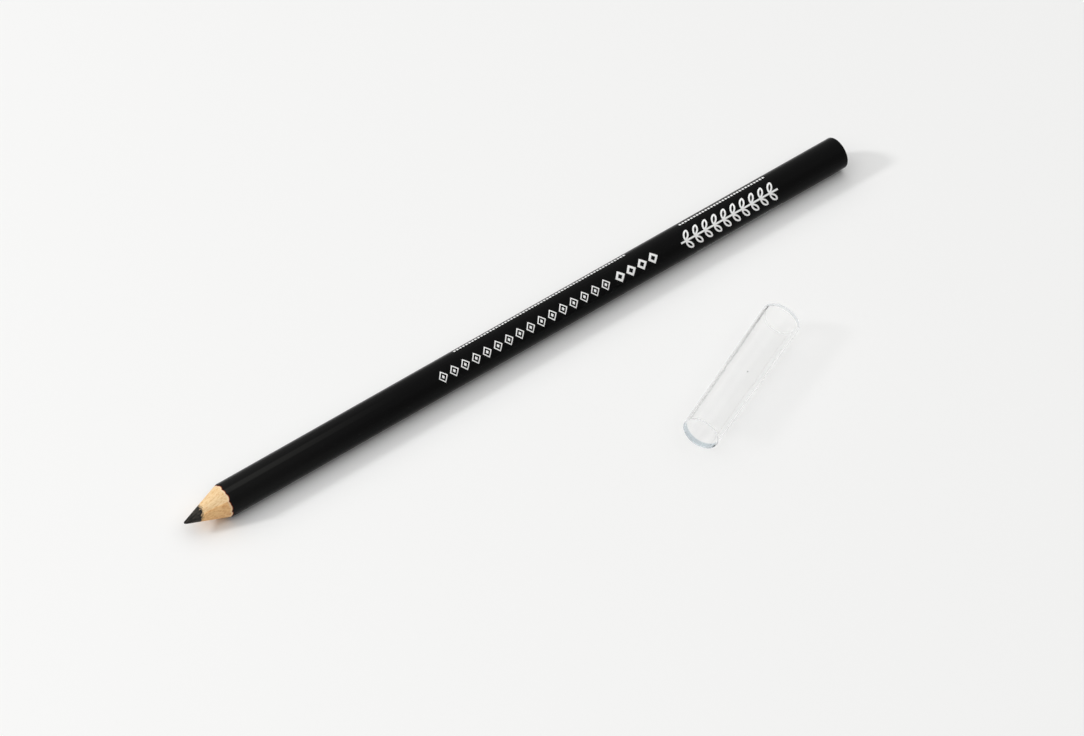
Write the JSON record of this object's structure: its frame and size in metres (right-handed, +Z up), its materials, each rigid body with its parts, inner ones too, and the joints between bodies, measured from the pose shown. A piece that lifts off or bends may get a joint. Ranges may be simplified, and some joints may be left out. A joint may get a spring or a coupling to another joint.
{
  "type": "eyeliner pencil",
  "caption": "Round black wooden kohl eyeliner pencil, sharpened, with its clear pull-off cap lying beside it.",
  "frame": {"origin": "on the barrel's axis, halfway along its round length", "axes": "-X towards the sharpened point, +X towards the blunt end, +Z up; the pencil lies level"},
  "size_m": [0.1753, 0.0539, 0.0089],
  "materials": {
    "kohl": "satin",
    "slat_wood": "matte",
    "black_lacquer": "satin",
    "clear_plastic": "gloss"
  },
  "bodies": {
    "root": {"kohl_lead": "kohl", "back_slat": "slat_wood", "front_slat": "slat_wood", "lacquer_coat": "black_lacquer", "clear_cap": "clear_plastic"}
  },
  "joints": []
}
